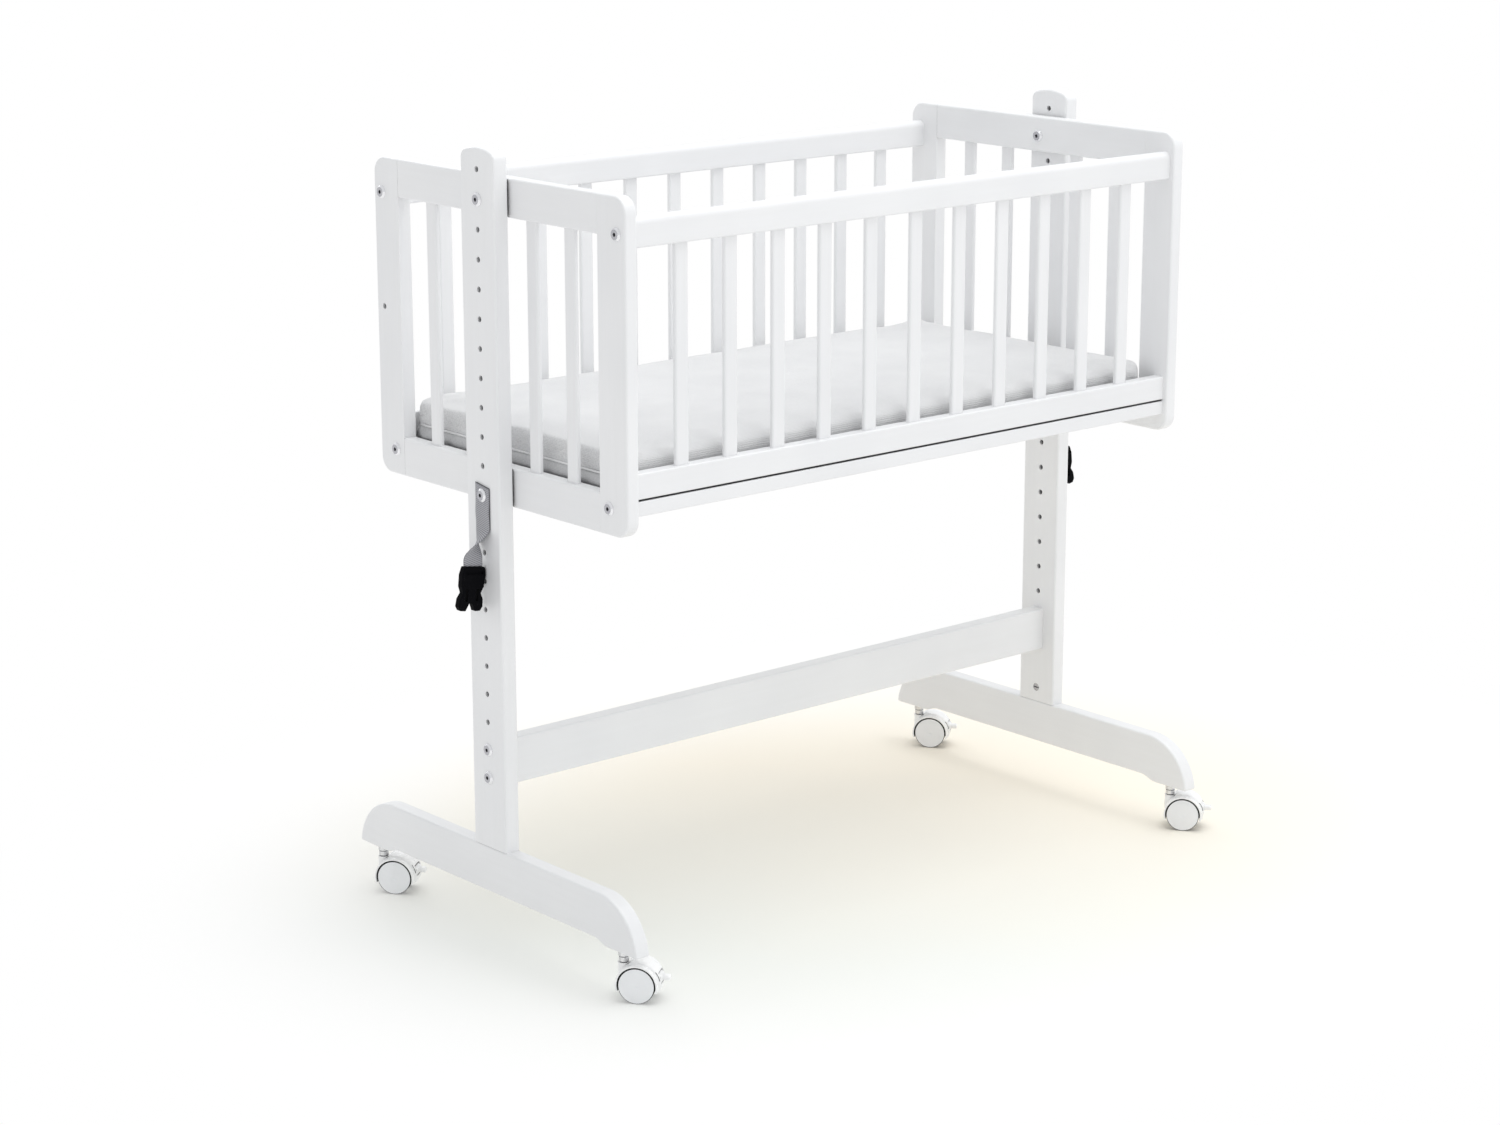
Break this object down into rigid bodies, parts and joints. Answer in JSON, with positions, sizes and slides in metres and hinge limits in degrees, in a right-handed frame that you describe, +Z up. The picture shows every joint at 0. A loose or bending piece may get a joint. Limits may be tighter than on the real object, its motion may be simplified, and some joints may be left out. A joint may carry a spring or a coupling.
{
  "type": "rocking bedside cradle",
  "caption": "Slatted bassinet with a mattress, hung on pivots between two uprights with rows of height holes, on bar feet with twin-wheel casters.",
  "frame": {"origin": "on the floor, midway between the two uprights and between the front and back feet", "axes": "+X along the cradle from the left to the right upright, -Y towards the front side panel, +Z up"},
  "size_m": [0.9568, 0.5226, 0.8879],
  "materials": {
    "white_lacquered_wood": "white satin lacquer",
    "zinc_steel": "zinc plated",
    "stem_steel": "bright",
    "spacer_plastic": "matte",
    "webbing": "woven webbing",
    "black_plastic": "moulded, fine texture",
    "mattress_cover": "knitted cover",
    "caster_plastic": "moulded, glossy",
    "wheel_plastic": "moulded, satin"
  },
  "bodies": {
    "stand": {"upright_left": "white_lacquered_wood", "upright_right": "white_lacquered_wood", "foot_left": "white_lacquered_wood", "foot_right": "white_lacquered_wood", "cross_rail": "white_lacquered_wood", "cross_rail_bolts": "zinc_steel", "cross_rail_barrel_nuts": "zinc_steel", "foot_bolts": "zinc_steel", "foot_barrel_nuts": "zinc_steel", "strap_left": "webbing", "strap_right": "webbing", "buckle_left": "black_plastic", "buckle_right": "black_plastic", "strap_bolts": "zinc_steel", "caster_stems": "stem_steel"},
    "carriage": {"pivot_bolts": "zinc_steel", "pivot_spacers": "spacer_plastic", "pivot_nuts": "zinc_steel"},
    "bassinet": {"end_stile_left_front": "white_lacquered_wood", "end_stile_left_back": "white_lacquered_wood", "end_stile_right_front": "white_lacquered_wood", "end_stile_right_back": "white_lacquered_wood", "end_top_rail_left": "white_lacquered_wood", "end_top_rail_right": "white_lacquered_wood", "end_bottom_rail_left": "white_lacquered_wood", "end_bottom_rail_right": "white_lacquered_wood", "end_slats_left": "white_lacquered_wood", "end_slats_right": "white_lacquered_wood", "side_top_rail_front": "white_lacquered_wood", "side_top_rail_back": "white_lacquered_wood", "side_bottom_rail_front": "white_lacquered_wood", "side_bottom_rail_back": "white_lacquered_wood", "side_slats_front": "white_lacquered_wood", "side_slats_back": "white_lacquered_wood", "base_board": "white_lacquered_wood", "mattress": "mattress_cover", "upper_frame_bolts": "zinc_steel", "upper_barrel_nuts": "zinc_steel", "lower_frame_bolts": "zinc_steel", "lower_barrel_nuts": "zinc_steel"},
    "caster_left_front": {"caster_hood_left_front": "caster_plastic", "caster_axle_left_front": "stem_steel"},
    "wheels_left_front": {"caster_wheels_left_front": "wheel_plastic"},
    "lever_left_front": {"brake_lever_left_front": "caster_plastic"},
    "caster_left_back": {"caster_hood_left_back": "caster_plastic", "caster_axle_left_back": "stem_steel"},
    "wheels_left_back": {"caster_wheels_left_back": "wheel_plastic"},
    "lever_left_back": {"brake_lever_left_back": "caster_plastic"},
    "caster_right_front": {"caster_hood_right_front": "caster_plastic", "caster_axle_right_front": "stem_steel"},
    "wheels_right_front": {"caster_wheels_right_front": "wheel_plastic"},
    "lever_right_front": {"brake_lever_right_front": "caster_plastic"},
    "caster_right_back": {"caster_hood_right_back": "caster_plastic", "caster_axle_right_back": "stem_steel"},
    "wheels_right_back": {"caster_wheels_right_back": "wheel_plastic"},
    "lever_right_back": {"brake_lever_right_back": "caster_plastic"}
  },
  "joints": [
    {"name": "height_slide", "type": "slide", "parent": "stand", "child": "carriage", "axis": [0, 0, 1], "range_m": [-0.16, 0.032]},
    {"name": "bassinet_rock", "type": "hinge", "parent": "carriage", "child": "bassinet", "pos_m": [0, 0, 0.833], "axis": [1, 0, 0], "range_deg": [-10, 10]},
    {"name": "caster_swivel_left_front", "type": "hinge", "parent": "stand", "child": "caster_left_front", "pos_m": [-0.4309, -0.2237, 0.035], "axis": [0, 0, 1], "continuous": true},
    {"name": "wheel_spin_left_front", "type": "hinge", "parent": "caster_left_front", "child": "wheels_left_front", "pos_m": [-0.42043, -0.2371, 0.02], "axis": [0.788, 0.6157, 0], "continuous": true},
    {"name": "brake_lever_left_front", "type": "hinge", "parent": "caster_left_front", "child": "lever_left_front", "pos_m": [-0.40714, -0.25412, 0.0275], "axis": [0.788, 0.6157, 0], "range_deg": [0, 18]},
    {"name": "caster_swivel_left_back", "type": "hinge", "parent": "stand", "child": "caster_left_back", "pos_m": [-0.4309, 0.2237, 0.035], "axis": [0, 0, 1], "continuous": true},
    {"name": "wheel_spin_left_back", "type": "hinge", "parent": "caster_left_back", "child": "wheels_left_back", "pos_m": [-0.42043, 0.2103, 0.02], "axis": [0.788, 0.6157, 0], "continuous": true},
    {"name": "brake_lever_left_back", "type": "hinge", "parent": "caster_left_back", "child": "lever_left_back", "pos_m": [-0.40714, 0.19328, 0.0275], "axis": [0.788, 0.6157, 0], "range_deg": [0, 18]},
    {"name": "caster_swivel_right_front", "type": "hinge", "parent": "stand", "child": "caster_right_front", "pos_m": [0.4309, -0.2237, 0.035], "axis": [0, 0, 1], "continuous": true},
    {"name": "wheel_spin_right_front", "type": "hinge", "parent": "caster_right_front", "child": "wheels_right_front", "pos_m": [0.44137, -0.2371, 0.02], "axis": [0.788, 0.6157, 0], "continuous": true},
    {"name": "brake_lever_right_front", "type": "hinge", "parent": "caster_right_front", "child": "lever_right_front", "pos_m": [0.45466, -0.25412, 0.0275], "axis": [0.788, 0.6157, 0], "range_deg": [0, 18]},
    {"name": "caster_swivel_right_back", "type": "hinge", "parent": "stand", "child": "caster_right_back", "pos_m": [0.4309, 0.2237, 0.035], "axis": [0, 0, 1], "continuous": true},
    {"name": "wheel_spin_right_back", "type": "hinge", "parent": "caster_right_back", "child": "wheels_right_back", "pos_m": [0.44137, 0.2103, 0.02], "axis": [0.788, 0.6157, 0], "continuous": true},
    {"name": "brake_lever_right_back", "type": "hinge", "parent": "caster_right_back", "child": "lever_right_back", "pos_m": [0.45466, 0.19328, 0.0275], "axis": [0.788, 0.6157, 0], "range_deg": [0, 18]}
  ]
}
